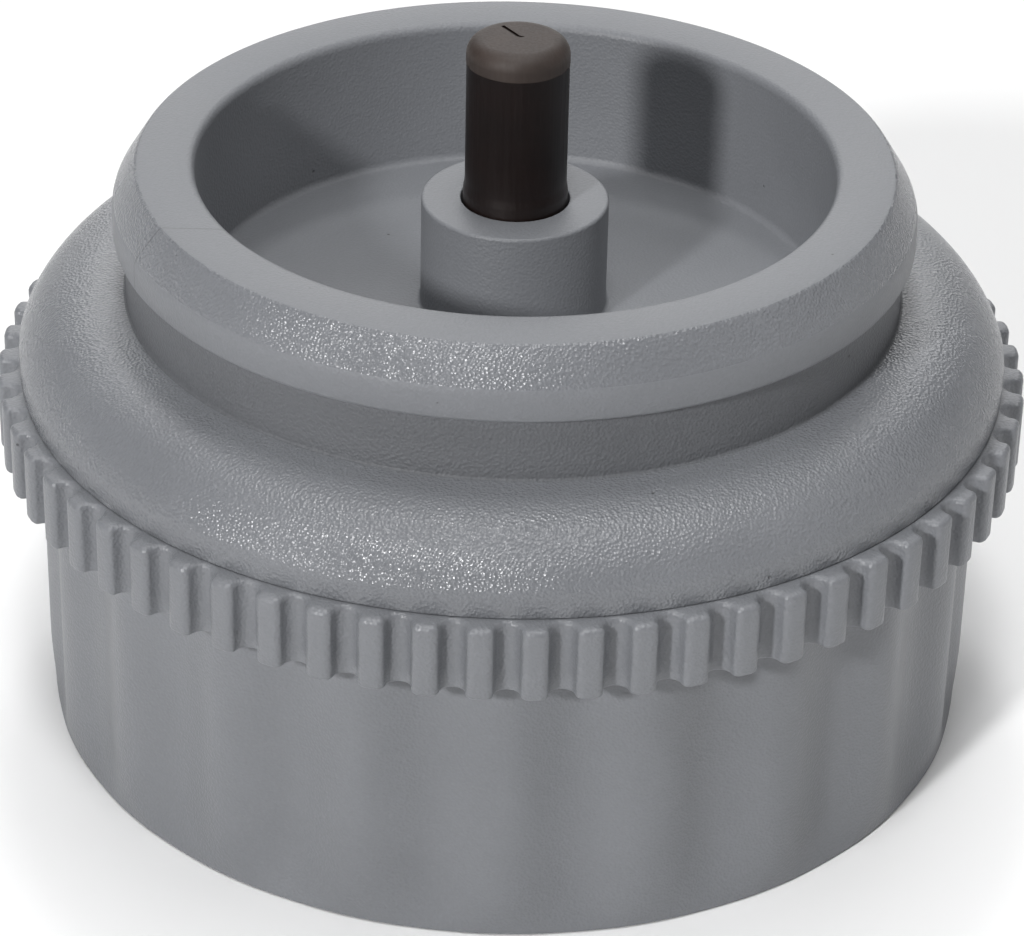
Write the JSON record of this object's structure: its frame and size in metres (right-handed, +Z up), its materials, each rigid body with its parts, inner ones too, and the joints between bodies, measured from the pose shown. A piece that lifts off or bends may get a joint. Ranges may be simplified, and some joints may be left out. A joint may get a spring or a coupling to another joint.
{
  "type": "valve adapter for a clip-on actuator",
  "caption": "Round plastic adapter: a union nut screws onto a heating valve, a snap bead carries the actuator and a centre pin passes on its stroke.",
  "frame": {"origin": "middle of the nut's lower face, which is the lowest face of the part, on the common axis", "axes": "+Z up along the common axis, from the valve towards the actuator; -Y is the side seen first, over a ridge of the skirt"},
  "size_m": [0.04, 0.04, 0.028],
  "materials": {
    "adapter_cup": "fine spark-eroded grain, smooth top",
    "coupling_nut": "moulded, satin",
    "nut_retaining_ring": "spring steel wire, plain",
    "pressure_pin": "satin, turned",
    "pin_retaining_clip": "spring steel strip, plain"
  },
  "bodies": {
    "cup": {"adapter_cup": "adapter_cup", "nut_retaining_ring": "nut_retaining_ring", "pin_retaining_clip": "pin_retaining_clip"},
    "nut": {"coupling_nut": "coupling_nut"},
    "pin": {"pressure_pin": "pressure_pin"}
  },
  "joints": [
    {"name": "nut_turn", "type": "hinge", "parent": "cup", "child": "nut", "pos_m": [0, 0, 0.012], "axis": [0, 0, 1], "continuous": true},
    {"name": "pin_slide", "type": "slide", "parent": "cup", "child": "pin", "axis": [0, 0, 1], "range_m": [0, 0.004]}
  ]
}
